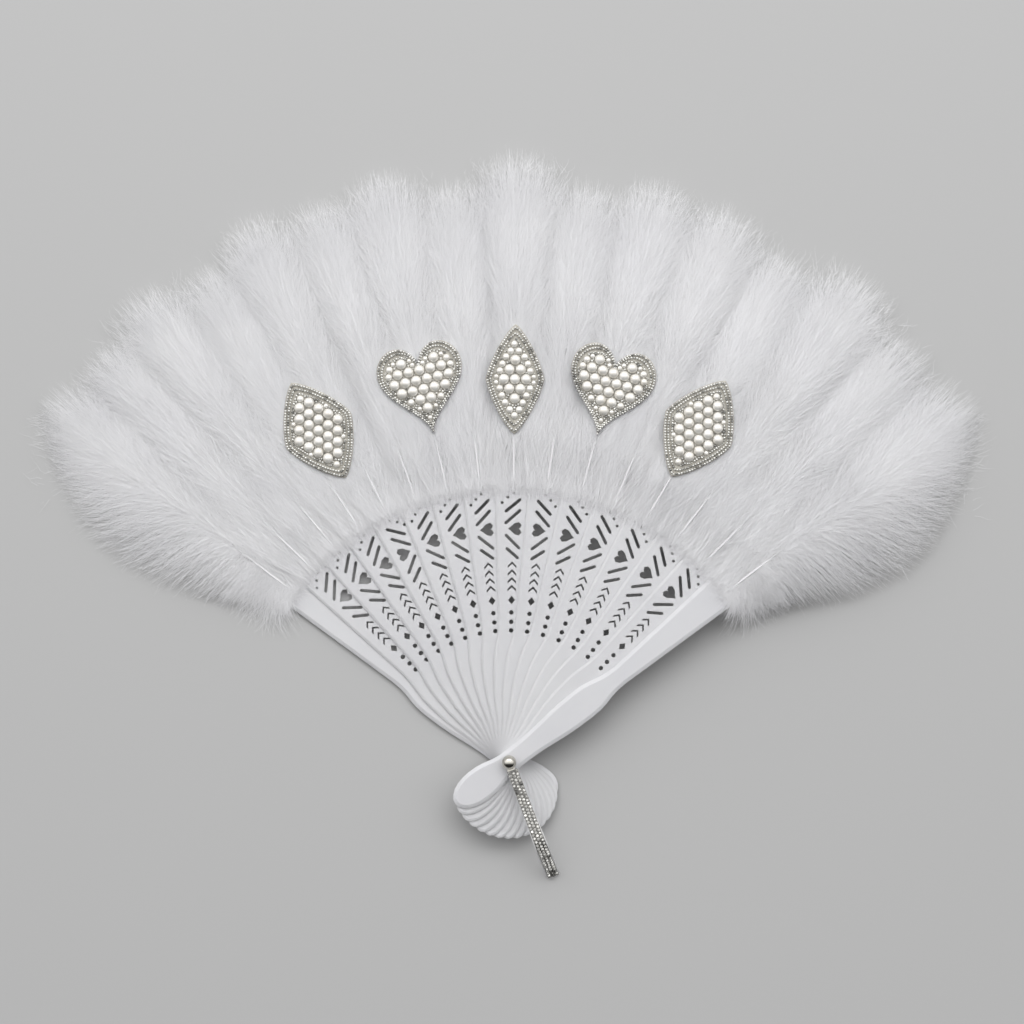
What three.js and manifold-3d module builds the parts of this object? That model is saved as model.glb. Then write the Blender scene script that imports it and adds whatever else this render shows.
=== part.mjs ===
// A folding feather fan: flat sticks turn on one rivet, and each carries a plume of down on its end.
// Millimetres, +Z up. The fan lies open, the rivet's tail on the table at the origin, feathers along +Y.
// Angles are degrees from +Y, positive towards +X, where the front guard is.

import * as THREE from 'three';
import { mergeVertices } from 'three/addons/utils/BufferGeometryUtils.js';
import Module from 'manifold-3d';

// Driving dimensions of the whole fan
const stickCount = 16; // two plain guards and the pierced sticks between them
const openSpread = 104; // degrees from the rear guard to the front guard
const bunching = 0.1; // how much the sticks crowd towards the rear guard
const layerGap = 0.1; // between flat pieces stacked on the rivet
const seatGap = 0.3; // between a soft piece and what carries it or lies beside it

// Rivet
const pinRadius = 1.5;
const runningClearance = 0.2;
const tailRim = 3; // tail beyond the pin
const tailThickness = 1;
const washerRim = 1.8; // washer round its hole
const washerThickness = 0.4;
const ballWall = 2; // ball round its socket
const ballFootRim = 0.6; // flat underside round the socket
const ballSocketDepth = 2;

// Outline shared by all sticks, as distances from the rivet
const headCentre = 20; // widest place of the head, on the hand side
const headReach = 40; // of the middle sticks
const rearHeadDrop = 10; // how much shorter the rear guard's head is
const frontHeadDrop = 5; // the same for the front guard's
const neckReach = 3;
const edgeDrop = 0.5; // share of a stick's thickness lost at its sloped upper edge
const gripReach = 48;
const waistReach = 72;
const stickReach = 142;

// Guards
const guardThickness = 1.6;
const guardEdgeRun = 1.8; // width of the sloped edge
const guardHeadWidth = 17.2;
const guardNeckWidth = 11;
const guardGripWidth = 16.4;
const guardWaistWidth = 10.2;
const guardTipWidth = 18.2;
const guardTipLean = 1.9; // how far the tip leans towards the sticks

// Pierced sticks
const stickThickness = 0.8;
const stickEdgeRun = 1.2; // width of the sloped edge
const stickHeadWidth = 16.4;
const stickNeckWidth = 10.4;
const stickGripWidth = 17.6;
const stickWaistWidth = 13.2;
const stickTipWidth = 19;
const turnedStick = 4; // one stick of the left half is strung the other way round
const firstMirrored = 9; // from here on the pattern faces the front guard

// Plumes of down
const plumeReach = 306; // from the rivet to the plume's end
const sidePlumeReach = 298; // the same on the two guards
const plumeTipThickness = 6;
const plumeCover = 2.5; // down standing over the stick's top face
const sideFlareFoot = 7; // degrees beyond the guard at the foot of its plume
const sideFlare = 12; // degrees beyond the guard where its plume is widest
const downRise = 6; // down under the first ornament, over its stick
const endRounding = 0.12; // share of a plume's length in its rounded end

// Pearl ornaments
const ornamentSetback = 26; // from the stick ends to an ornament's lower edge
const feltThickness = 0.6;
const borderWidth = 3;
const borderThickness = 1.8;
const pearlRadius = 2.8;
const pearlHeight = 2.1; // over its net
const netThickness = 0.5;
const lozengeWidth = 38;
const lozengeHeight = 56;
const middleLozengeWidth = 30;
const heartWidth = 44;
const heartHeight = 46;

// Rhinestone strap
const strapAngle = 21; // degrees from straight down, towards the front guard
const eyeletRim = 1.9; // eyelet round its hole
const eyeletThickness = 0.6;
const eyeletTab = 10;
const strapWidth = 7;
const backingThickness = 0.5;
const stoneRowsWidth = 5.4;
const stoneThickness = 1.3;
const strapClearance = 1.5; // from the stick heads to the strap's bend
const bendRadius = 10;
const droopAngle = 45;
const strapFloorGap = 0.6;

const wasm = await Module();
wasm.setup();

const radians = THREE.MathUtils.degToRad;
const ease = (from, to, value) => THREE.MathUtils.smoothstep(value, from, to);
const lastStick = stickCount - 1;
const holeRadius = pinRadius + runningClearance;
const ballRadius = holeRadius + ballWall;
const ballFootRadius = holeRadius + ballFootRim;
const curveSteps = 6; // straight pieces in each curve of an outline
const mergeDistance = 1e-4; // vertices nearer than this are one
const pinSides = 12;
const ballSides = 18;

// Angle of a stick, or of a place between two sticks
function stickAngle(index) {
  const share = index / lastStick;
  return openSpread * (share - bunching * share * (1 - share) - 0.5);
}

// Lower face of each stick in the stack
const rearGuardFloor = tailThickness + layerGap;
const firstStickFloor = rearGuardFloor + guardThickness + layerGap;
const frontGuardFloor = firstStickFloor + (stickCount - 2) * (stickThickness + layerGap);
const stackTop = frontGuardFloor + guardThickness;

function stickFloor(index) {
  if (index === 0) return rearGuardFloor;
  if (index === lastStick) return frontGuardFloor;
  return firstStickFloor + (index - 1) * (stickThickness + layerGap);
}

const isGuard = (index) => index === 0 || index === lastStick;
const stickTop = (index) => stickFloor(index) + (isGuard(index) ? guardThickness : stickThickness);

// Materials
function plain(color, roughness, metalness = 0) {
  return new THREE.MeshStandardMaterial({ color, roughness, metalness });
}
const whitePlastic = plain(0xe6e6ea, 0.45);
const whiteDown = plain(0xf3f2f4, 0.95);
const pearlCoat = plain(0xf0e9dd, 0.2);
const ivoryFelt = plain(0xe9e4dc, 0.9);
const silverStones = plain(0xc9c4b8, 0.2, 0.8);
const polishedSteel = plain(0xcfcac0, 0.1, 1);
const clearBacking = plain(0xe8e8e6, 0.4);

const fan = new THREE.Group();

function addPiece(name, geometry, material, angle = 0, height = 0) {
  const mesh = new THREE.Mesh(geometry, material);
  mesh.name = name;
  mesh.rotation.z = -radians(angle);
  mesh.position.z = height;
  fan.add(mesh);
}

// A geometry with its shared vertices merged
function closed(geometry) {
  geometry.deleteAttribute('normal');
  geometry.deleteAttribute('uv');
  return mergeVertices(geometry, mergeDistance);
}

function plate(shape, thickness, curveSegments = curveSteps) {
  return closed(new THREE.ExtrudeGeometry(shape, { depth: thickness, bevelEnabled: false, curveSegments }));
}

// A turned piece, from its profile of [radius, height] points
function turned(profile, sides) {
  const points = profile.map(([radius, height]) => new THREE.Vector2(radius, height));
  return closed(new THREE.LatheGeometry(points, sides).rotateX(Math.PI / 2));
}

function solidOf(geometry) {
  const vertProperties = geometry.attributes.position.array;
  const triVerts = new Uint32Array(geometry.index.array);
  return new wasm.Manifold(new wasm.Mesh({ numProp: 3, vertProperties, triVerts }));
}

function geometryOf(solid) {
  const { vertProperties, triVerts } = solid.getMesh();
  return new THREE.BufferGeometry()
    .setAttribute('position', new THREE.BufferAttribute(vertProperties, 3))
    .setIndex(new THREE.BufferAttribute(triVerts, 1));
}

function polygon(count, at) {
  return Array.from({ length: count }, (_, k) => at(k / count));
}

function roundPoints(x, y, radius, sides) {
  return polygon(sides, (share) => {
    const turn = 2 * Math.PI * share;
    return new THREE.Vector2(x + radius * Math.cos(turn), y + radius * Math.sin(turn));
  });
}

// A heart with its point down, centred on its box
function heartPoints(width, height, count) {
  return polygon(count, (share) => {
    const t = 2 * Math.PI * share;
    const rise = 13 * Math.cos(t) - 5 * Math.cos(2 * t) - 2 * Math.cos(3 * t) - Math.cos(4 * t);
    return new THREE.Vector2(-0.5 * width * Math.sin(t) ** 3, (height * (rise + 2.55)) / 29);
  });
}

function lozengePoints(width, height, count) {
  const bow = 1.55; // 1 is an ellipse and 2 a straight-sided diamond
  const bent = (value) => Math.sign(value) * Math.abs(value) ** bow;
  return polygon(count, (share) => {
    const turn = 2 * Math.PI * share;
    return new THREE.Vector2(0.5 * width * bent(Math.cos(turn)), 0.5 * height * bent(Math.sin(turn)));
  });
}

// The piercings of a stick: a column of dots, a diamond, chevrons, and slanted slots round a heart.
// Everything is counted in modules of the blade's length, so the pattern keeps its proportions.
function piercings() {
  const module = (stickReach - waistReach) / 17.5;
  const row = (count) => waistReach + count * module;
  const holes = [];

  for (const count of [-1.2, -0.1, 1.1]) holes.push(roundPoints(0, row(count), 0.3 * module, 8));

  const diamond = roundPoints(0, 0, 0.55 * module, 4);
  holes.push(diamond.map((p) => new THREE.Vector2(0.8 * p.x, p.y + row(2.7))));

  const wing = 0.55 * module;
  const stroke = 0.3 * module;
  for (const count of [4.3, 5.3, 6.3, 7.3]) {
    const peak = row(count) + 0.35 * module;
    holes.push([
      new THREE.Vector2(-wing, peak - wing - stroke),
      new THREE.Vector2(0, peak - stroke),
      new THREE.Vector2(wing, peak - wing - stroke),
      new THREE.Vector2(wing, peak - wing),
      new THREE.Vector2(0, peak),
      new THREE.Vector2(-wing, peak - wing),
    ]);
  }

  const slots = [
    [8.7, 2.2, -40],
    [10.2, 2.7, -44],
    [13.4, 2.8, 42],
    [14.85, 2.7, 40],
  ];
  for (const [count, length, tilt] of slots) {
    const radius = 0.2 * module;
    const half = 0.5 * length * module - radius;
    const slot = polygon(8, (share) => {
      const end = share < 0.5 ? 1 : -1;
      const turn = 2 * Math.PI * (Math.floor(share * 8) % 4) / 6 + (end > 0 ? -0.5 : 0.5) * Math.PI;
      return new THREE.Vector2(end * half + radius * Math.cos(turn), radius * Math.sin(turn));
    });
    const rivet = new THREE.Vector2(0, 0);
    const place = new THREE.Vector2(0, row(count));
    holes.push(slot.map((p) => p.rotateAround(rivet, radians(tilt)).add(place)));
  }

  const heart = heartPoints(1.75 * module, 1.8 * module, 13);
  holes.push(heart.map((p) => new THREE.Vector2(p.y + 0.25 * module, row(11.85) - p.x)));

  const tipDots = [
    [-1.4, 15.2],
    [-0.7, 15.9],
    [0.05, 16.5],
  ];
  for (const [across, count] of tipDots) {
    holes.push(roundPoints(across * module, row(count), 0.2 * module, 6));
  }
  return holes;
}

// Together the heads make a shell, deepest in the middle
function headReachOf(index) {
  const fromMiddle = (2 * index) / lastStick - 1;
  const drop = fromMiddle < 0 ? rearHeadDrop : frontHeadDrop;
  return headReach - drop * fromMiddle ** 2;
}

// A stick's outline: an oval head, then widths that ease from neck to grip to waist, then a straight blade
function stickShape(index, { headWidth, neckWidth, gripWidth, waistWidth, tipWidth, tipLean = 0 }) {
  const stations = [
    [headWidth / 2, -headCentre],
    [neckWidth / 2, neckReach],
    [gripWidth / 2, gripReach],
    [waistWidth / 2, waistReach],
  ];
  const tipPoint = (turn, reach) => [reach * Math.sin(turn), reach * Math.cos(turn)];
  const tipStart = Math.asin((tipLean + tipWidth / 2) / stickReach);
  const tipEnd = Math.asin((tipLean - tipWidth / 2) / stickReach);
  const tipBulge = tipPoint((tipStart + tipEnd) / 2, stickReach / Math.cos((tipStart - tipEnd) / 2));
  const shape = new THREE.Shape();
  shape.moveTo(-headWidth / 2, -headCentre);
  const headLength = headReachOf(index) - headCentre;
  shape.absellipse(0, -headCentre, headWidth / 2, headLength, Math.PI, 2 * Math.PI);
  const easeTo = (side, [fromWidth, fromReach], [toWidth, toReach]) => {
    const middle = (fromReach + toReach) / 2;
    shape.bezierCurveTo(side * fromWidth, middle, side * toWidth, middle, side * toWidth, toReach);
  };
  for (let k = 1; k < stations.length; k++) easeTo(1, stations[k - 1], stations[k]);
  shape.lineTo(...tipPoint(tipStart, stickReach));
  shape.quadraticCurveTo(...tipBulge, ...tipPoint(tipEnd, stickReach));
  shape.lineTo(-waistWidth / 2, waistReach);
  for (let k = stations.length - 1; k > 0; k--) easeTo(-1, stations[k], stations[k - 1]);
  shape.holes.push(new THREE.Path(roundPoints(0, 0, holeRadius, pinSides)));
  return shape;
}

// An outline moved inwards, point by point
function inset(points, run) {
  return points.map((point, k) => {
    const before = points[(k + points.length - 1) % points.length];
    const after = points[(k + 1) % points.length];
    const along = after.clone().sub(before).normalize();
    return new THREE.Vector2(point.x - run * along.y, point.y + run * along.x);
  });
}

// A plate whose upper edge slopes down to its outline
function slopedPlate(shape, thickness, run) {
  const apart = (point, k, points) => point.distanceTo(points[(k + 1) % points.length]) > mergeDistance;
  const outlines = shape.extractPoints(curveSteps);
  const rim = outlines.shape.filter(apart);
  const holes = outlines.holes.map((hole) => hole.filter(apart));
  if (THREE.ShapeUtils.isClockWise(rim)) rim.reverse();
  for (const hole of holes) if (!THREE.ShapeUtils.isClockWise(hole)) hole.reverse();
  const crown = inset(rim, run);
  const shoulder = (1 - edgeDrop) * thickness;
  const corners = [];
  const put = (point, height) => corners.push(point.x, point.y, height);
  const wall = (lower, low, upper, high) => {
    lower.forEach((a, k) => {
      const next = (k + 1) % lower.length;
      put(a, low);
      put(lower[next], low);
      put(upper[next], high);
      put(a, low);
      put(upper[next], high);
      put(upper[k], high);
    });
  };
  const face = (outline, height, order) => {
    const points = [...outline, ...holes.flat()];
    for (const triangle of THREE.ShapeUtils.triangulateShape(outline, holes)) {
      for (const corner of order) put(points[triangle[corner]], height);
    }
  };
  face(rim, 0, [0, 2, 1]);
  face(crown, thickness, [0, 1, 2]);
  wall(rim, 0, rim, shoulder);
  wall(rim, shoulder, crown, thickness);
  for (const hole of holes) wall(hole, 0, hole, thickness);
  const geometry = new THREE.BufferGeometry();
  geometry.setAttribute('position', new THREE.Float32BufferAttribute(corners, 3));
  return mergeVertices(geometry, mergeDistance);
}

function guardGeometry(index) {
  const shape = stickShape(index, {
    headWidth: guardHeadWidth,
    neckWidth: guardNeckWidth,
    gripWidth: guardGripWidth,
    waistWidth: guardWaistWidth,
    tipWidth: guardTipWidth,
    tipLean: index === 0 ? guardTipLean : -guardTipLean,
  });
  return slopedPlate(shape, guardThickness, guardEdgeRun);
}

function piercedGeometry(index) {
  const shape = stickShape(index, {
    headWidth: stickHeadWidth,
    neckWidth: stickNeckWidth,
    gripWidth: stickGripWidth,
    waistWidth: stickWaistWidth,
    tipWidth: stickTipWidth,
  });
  const mirrored = index === turnedStick || index >= firstMirrored;
  const side = mirrored ? -1 : 1;
  for (const hole of piercings()) {
    shape.holes.push(new THREE.Path(hole.map((p) => new THREE.Vector2(side * p.x, p.y))));
  }
  return slopedPlate(shape, stickThickness, stickEdgeRun);
}

// The form of an ornament: its size, and its outline moved inwards by a margin
function lozengeForm(width, height) {
  const side = Math.hypot(width, height);
  const outline = (margin) => {
    return lozengePoints(width - (2 * margin * side) / height, height - (2 * margin * side) / width, 20);
  };
  return { width, height, outline };
}

function heartForm(width, height) {
  const outline = (margin) => heartPoints(width - 2.2 * margin, height - 2.4 * margin, 26);
  return { width, height, outline };
}

// Ornaments, with the stick that carries each one and its place along the row of sticks
const lozenge = lozengeForm(lozengeWidth, lozengeHeight);
const slimLozenge = lozengeForm(middleLozengeWidth, lozengeHeight);
const heart = heartForm(heartWidth, heartHeight);
const ornamentMiddle = stickReach + ornamentSetback + lozengeHeight / 2;
const ornamentThickness = feltThickness + layerGap + netThickness + pearlHeight;
const ornaments = [
  { place: 3.45, carrier: 3, form: lozenge },
  { place: 6, carrier: 6, form: heart },
  { place: 8, carrier: 8, form: slimLozenge },
  { place: 10, carrier: 10, form: heart },
  { place: 12, carrier: 12, form: lozenge },
];

// Each ornament lies higher than the one before, so that they pass over each other when the fan folds
let lowestSeat = 0;
for (const ornament of ornaments) {
  ornament.seat = Math.max(lowestSeat, stickTop(ornament.carrier) + downRise) + seatGap;
  ornament.angle = stickAngle(ornament.place);
  ornament.halfAngle = THREE.MathUtils.radToDeg(Math.atan(ornament.form.width / 2 / ornamentMiddle));
  lowestSeat = ornament.seat + ornamentThickness;
}

// The height of a plume's crest: just under the lowest ornament that reaches over it
function plumeCrest(index) {
  const from = stickAngle(index - 0.5);
  const to = stickAngle(index + 0.5);
  const over = ornaments.filter((o) => o.angle + o.halfAngle > from && o.angle - o.halfAngle < to);
  const before = ornaments.filter((o) => o.angle < to);
  const under = over[0] ?? before[before.length - 1] ?? ornaments[0];
  return under.seat - seatGap;
}

// A plume: sections across the down, from the stick's end to the plume's rounded end
function plumeGeometry(index) {
  const reach = isGuard(index) ? sidePlumeReach : plumeReach;
  const crest = plumeCrest(index);
  const footHeight = stickTop(index) + plumeCover;
  const endFrom = 1 - endRounding;
  const endWidth = 0.3; // of the plume's full width
  const rounded = (share) => {
    const into = Math.max(0, (share - endFrom) / endRounding);
    return Math.sqrt(1 - (1 - endWidth ** 2) * into ** 2);
  };
  const flare = (share) => {
    const widest = sideFlareFoot + (sideFlare - sideFlareFoot) * ease(0, 0.5, share);
    return widest * (1 - 0.86 * Math.max(0, 2 * share - 1) ** 1.6);
  };
  const halfAngle = (side, share, radius) => {
    const outside = (index === 0 && side < 0) || (index === lastStick && side > 0);
    const half = Math.abs(stickAngle(index + side * 0.5) - stickAngle(index));
    const gap = THREE.MathUtils.radToDeg(seatGap / 2 / radius);
    return outside ? flare(share) : half * rounded(share) - gap;
  };
  const footSpan = halfAngle(-1, 0, stickReach) + halfAngle(1, 0, stickReach);
  const foot = (stickReach + seatGap) / Math.cos(radians(footSpan / 2)); // its straight edge clears the stick
  const outline = [
    [-1, 0],
    [1, 0],
    [1, 0.55],
    [0.55, 0.9],
    [0, 1],
    [-0.55, 0.9],
    [-1, 0.55],
  ];
  const into = [0.45, 0.8, 1].map((share) => endFrom + share * endRounding);
  const sections = [0, 0.06, 0.15, 0.32, 0.5, 0.7, endFrom, ...into].map((share) => {
    const radius = foot + share * (reach - foot);
    const risen = footHeight + (crest - footHeight) * ease(0, 0.15, share);
    const height = risen + (plumeTipThickness - risen) * ease(0.5, 1, share);
    return outline.map(([across, up]) => {
      const angle = radians(across * halfAngle(Math.sign(across) || 1, share, radius));
      return [radius * Math.sin(angle), radius * Math.cos(angle), up * height];
    });
  });
  return loft(sections);
}

// A closed skin over a row of sections with the same number of points
function loft(sections) {
  const count = sections[0].length;
  const triangles = [];
  for (let j = 1; j < sections.length; j++) {
    for (let k = 0; k < count; k++) {
      const next = (k + 1) % count;
      const a = (j - 1) * count;
      const b = j * count;
      triangles.push(a + k, b + k, a + next, a + next, b + k, b + next);
    }
  }
  const end = (sections.length - 1) * count;
  for (let k = 1; k < count - 1; k++) {
    triangles.push(0, k, k + 1);
    triangles.push(end, end + k + 1, end + k);
  }
  const geometry = new THREE.BufferGeometry();
  geometry.setAttribute('position', new THREE.Float32BufferAttribute(sections.flat(2), 3));
  geometry.setIndex(triangles);
  return geometry;
}

// Whether a place lies inside an outline
function inside(points, place) {
  let crossings = 0;
  points.forEach((a, k) => {
    const b = points[(k + 1) % points.length];
    if (a.y > place.y === b.y > place.y) return;
    if (place.x < a.x + ((place.y - a.y) * (b.x - a.x)) / (b.y - a.y)) crossings += 1;
  });
  return crossings % 2 === 1;
}

// Places of the pearls: rows set half a pitch apart, wherever a whole pearl fits in the outline
function pearlPlaces(outline, form) {
  const pitch = 2 * pearlRadius + layerGap;
  const rise = (pitch * Math.sqrt(3)) / 2;
  const rows = Math.ceil(form.height / 2 / rise);
  const columns = Math.ceil(form.width / 2 / pitch);
  const places = [];
  for (let row = -rows; row <= rows; row++) {
    for (let column = -columns; column <= columns; column++) {
      const shift = row % 2 === 0 ? 0 : 0.5;
      const place = new THREE.Vector2((column + shift) * pitch, row * rise);
      const rim = roundPoints(place.x, place.y, pearlRadius, 12);
      if (rim.every((p) => inside(outline, p))) places.push(place);
    }
  }
  return places;
}

// The pearls of one ornament, domes standing on the net that they are sewn to
function pearlField(form) {
  const net = form.outline(borderWidth + seatGap);
  const shoulder = 0.55 * pearlHeight;
  const dome = turned(
    [
      [0, -netThickness / 2],
      [pearlRadius, -netThickness / 2],
      [0.92 * pearlRadius, shoulder],
      [0, pearlHeight],
    ],
    6,
  );
  let field = solidOf(plate(new THREE.Shape(net), netThickness));
  for (const place of pearlPlaces(net, form)) {
    const pearl = dome.clone().translate(place.x, place.y, netThickness);
    field = field.add(solidOf(pearl));
  }
  return geometryOf(field);
}

function addOrnament(number, { form, angle, seat }) {
  const put = (part, geometry, material, height) => {
    const name = `ornament_${number}_${part}`;
    addPiece(name, geometry.translate(0, ornamentMiddle, 0), material, angle, height);
  };
  put('felt', plate(new THREE.Shape(form.outline(0)), feltThickness), ivoryFelt, seat);
  const onFelt = seat + feltThickness + layerGap;
  const rim = new THREE.Shape(form.outline(0));
  rim.holes.push(new THREE.Path(form.outline(borderWidth)));
  put('border', plate(rim, borderThickness), silverStones, onFelt);
  put('pearls', pearlField(form), pearlCoat, onFelt);
}

function stickName(index) {
  if (index === 0) return 'rear_guard';
  if (index === lastStick) return 'front_guard';
  return `stick_${String(index).padStart(2, '0')}`;
}

// Sticks and plumes
for (let index = 0; index < stickCount; index++) {
  const label = String(index).padStart(2, '0');
  const angle = stickAngle(index);
  const geometry = isGuard(index) ? guardGeometry(index) : piercedGeometry(index);
  addPiece(stickName(index), geometry, whitePlastic, angle, stickFloor(index));
  addPiece(`plume_${label}`, plumeGeometry(index), whiteDown, angle);
}

ornaments.forEach((ornament, k) => addOrnament(k + 1, ornament));

// Rivet: a pin with a flat tail, a washer, and a ball screwed on over the strap's eyelet
const washerFloor = stackTop + layerGap;
const eyeletFloor = washerFloor + washerThickness + layerGap;
const ballFloor = eyeletFloor + eyeletThickness + layerGap;
const pinEnd = ballFloor + ballSocketDepth - layerGap;
const pinProfile = [
  [0, 0],
  [pinRadius + tailRim, 0],
  [pinRadius + tailRim, tailThickness],
  [pinRadius, tailThickness],
  [pinRadius, pinEnd],
  [0, pinEnd],
];
addPiece('rivet_pin', turned(pinProfile, pinSides), polishedSteel);

const washer = new THREE.Shape(roundPoints(0, 0, holeRadius + washerRim, pinSides));
washer.holes.push(new THREE.Path(roundPoints(0, 0, holeRadius, pinSides)));
addPiece('rivet_washer', plate(washer, washerThickness), polishedSteel, 0, washerFloor);

const ballMiddle = Math.sqrt(ballRadius ** 2 - ballFootRadius ** 2);
const footTurn = Math.atan2(-ballMiddle, ballFootRadius);
const ballProfile = [
  [0, ballSocketDepth],
  [holeRadius, ballSocketDepth],
  [holeRadius, 0],
];
const ballSteps = 8;
for (let k = 0; k <= ballSteps; k++) {
  const turn = footTurn + (k / ballSteps) * (Math.PI / 2 - footTurn);
  const radius = k === ballSteps ? 0 : ballRadius * Math.cos(turn);
  ballProfile.push([radius, ballMiddle + ballRadius * Math.sin(turn)]);
}
addPiece('rivet_ball', turned(ballProfile, ballSides), polishedSteel, 0, ballFloor);

// Strap: an eyelet on the pin, and a band that lies over the heads and droops to the table beyond them
const strapTurn = 180 - strapAngle;
const eyeletRadius = holeRadius + eyeletRim;
const tabTurn = Math.acos((stoneRowsWidth / 2 - seatGap) / eyeletRadius); // where the tab leaves the ring
const eyelet = new THREE.Shape();
eyelet.moveTo(-eyeletRadius * Math.cos(tabTurn), eyeletTab);
eyelet.absarc(0, 0, eyeletRadius, Math.PI - tabTurn, 2 * Math.PI + tabTurn);
eyelet.lineTo(eyeletRadius * Math.cos(tabTurn), eyeletTab);
eyelet.holes.push(new THREE.Path(roundPoints(0, 0, holeRadius, pinSides)));
addPiece('strap_eyelet', plate(eyelet, eyeletThickness), polishedSteel, strapTurn, eyeletFloor);

// A layer of the strap, from its underside's and top's distance over the strap's own underside
const strapFloor = eyeletFloor + eyeletThickness + layerGap;
const bendStart = headReach + strapClearance;
const strapStart = ballRadius + strapClearance / 2;
function strapLayer(low, high, width) {
  const turn = radians(droopAngle);
  const pivot = strapFloor - bendRadius;
  const slope = (strapFloor - strapFloorGap - bendRadius * (1 - Math.cos(turn))) / Math.sin(turn);
  const along = (height) => bendStart + (bendRadius + height) * Math.sin(turn) + slope * Math.cos(turn);
  const up = (height) => pivot + (bendRadius + height) * Math.cos(turn) - slope * Math.sin(turn);
  const shape = new THREE.Shape();
  shape.moveTo(strapStart, strapFloor + low);
  shape.lineTo(bendStart, strapFloor + low);
  shape.absarc(bendStart, pivot, bendRadius + low, Math.PI / 2, Math.PI / 2 - turn, true);
  shape.lineTo(along(low), up(low));
  shape.lineTo(along(high), up(high));
  shape.absarc(bendStart, pivot, bendRadius + high, Math.PI / 2 - turn, Math.PI / 2, false);
  shape.lineTo(strapStart, strapFloor + high);
  const upright = new THREE.Matrix4().makeBasis(
    new THREE.Vector3(0, 1, 0),
    new THREE.Vector3(0, 0, 1),
    new THREE.Vector3(1, 0, 0),
  );
  return plate(shape, width, 3).translate(0, 0, -width / 2).applyMatrix4(upright);
}
const stoneFloor = backingThickness + layerGap;
const backing = strapLayer(0, backingThickness, strapWidth);
const stones = strapLayer(stoneFloor, stoneFloor + stoneThickness, stoneRowsWidth);
addPiece('strap_backing', backing, clearBacking, strapTurn);
addPiece('strap_stones', stones, silverStones, strapTurn);

export default fan;
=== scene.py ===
import math
import bpy
import numpy as np
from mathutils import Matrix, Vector


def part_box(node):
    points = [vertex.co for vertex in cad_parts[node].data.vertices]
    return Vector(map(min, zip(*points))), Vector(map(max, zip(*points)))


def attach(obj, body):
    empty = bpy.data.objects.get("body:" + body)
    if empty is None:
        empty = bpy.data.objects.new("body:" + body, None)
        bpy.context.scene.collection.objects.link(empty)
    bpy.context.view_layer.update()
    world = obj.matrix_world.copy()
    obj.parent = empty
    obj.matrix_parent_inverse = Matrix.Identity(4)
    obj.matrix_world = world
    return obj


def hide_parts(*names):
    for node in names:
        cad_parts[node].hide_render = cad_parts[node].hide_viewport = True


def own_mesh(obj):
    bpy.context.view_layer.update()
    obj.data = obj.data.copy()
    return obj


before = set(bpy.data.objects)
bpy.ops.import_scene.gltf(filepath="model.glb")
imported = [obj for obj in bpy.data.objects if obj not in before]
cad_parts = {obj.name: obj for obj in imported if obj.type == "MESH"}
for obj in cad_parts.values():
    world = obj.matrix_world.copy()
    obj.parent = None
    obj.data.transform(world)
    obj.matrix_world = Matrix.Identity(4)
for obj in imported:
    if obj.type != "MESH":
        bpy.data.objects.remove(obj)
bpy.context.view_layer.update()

mm = 0.001  # shapes below are written in millimetres
scene = bpy.context.scene
scene.view_settings.view_transform = "Standard"
print("frame loaded:", len(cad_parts), "nodes")

# layout of the fan, the same values as the solids
fan = {"sticks": 16, "spread": 104.0, "bunching": 0.1}
lastStick = fan["sticks"] - 1


def stickAngle(index):
    share = index / lastStick
    return fan["spread"] * (share - fan["bunching"] * share * (1 - share) - 0.5)


def stickName(index):
    if index == 0:
        return "rear_guard"
    if index == lastStick:
        return "front_guard"
    return f"stick_{index:02d}"


def topOf(node):
    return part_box(node)[1].z / mm


def floorOf(node):
    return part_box(node)[0].z / mm


# helpers for numbers
def ease(start, end, value):
    share = np.clip((value - start) / (end - start), 0, 1)
    return share * share * (3 - 2 * share)


def blend(first, last, share):
    return first + (last - first) * share


def fullTurn(count):
    return 2 * np.pi * np.arange(count) / count


def unit(vectors):
    return vectors / np.maximum(np.linalg.norm(vectors, axis=-1, keepdims=True), 1e-9)


# node helpers
def newGroup(name, inputs, outputs):
    group = bpy.data.node_groups.new(name, "ShaderNodeTree")
    for label, kind, value in inputs:
        socket = group.interface.new_socket(label, in_out="INPUT", socket_type=kind)
        socket.default_value = value
    for label, kind in outputs:
        group.interface.new_socket(label, in_out="OUTPUT", socket_type=kind)
    return group, group.nodes.new("NodeGroupInput"), group.nodes.new("NodeGroupOutput")


def addNode(tree, kind, **settings):
    node = tree.nodes.new(kind)
    for label, value in settings.items():
        setattr(node, label, value)
    return node


def placeGroup(tree, group, **values):
    node = tree.nodes.new("ShaderNodeGroup")
    node.node_tree = group
    for label, value in values.items():
        node.inputs[label].default_value = value
    return node


def newMaterial(name, **values):
    material = bpy.data.materials.new(name)
    material.use_nodes = True
    shader = material.node_tree.nodes["Principled BSDF"]
    for label, value in values.items():
        shader.inputs[label.replace("_", " ")].default_value = value
    return material, material.node_tree, shader


# noise over a piece, as fine as the group's Scale
def addNoise(group, into, detail):
    place = addNode(group, "ShaderNodeTexCoord")
    noise = addNode(group, "ShaderNodeTexNoise")
    noise.inputs["Detail"].default_value = detail
    group.links.new(place.outputs["Object"], noise.inputs["Vector"])
    group.links.new(into.outputs["Scale"], noise.inputs["Scale"])
    return noise.outputs["Fac"]


def addMix(group, factor, first, last):
    mix = addNode(group, "ShaderNodeMix", data_type="RGBA")
    group.links.new(factor, mix.inputs["Factor"])
    group.links.new(first, mix.inputs["A"])
    group.links.new(last, mix.inputs["B"])
    return mix.outputs["Result"]


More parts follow.
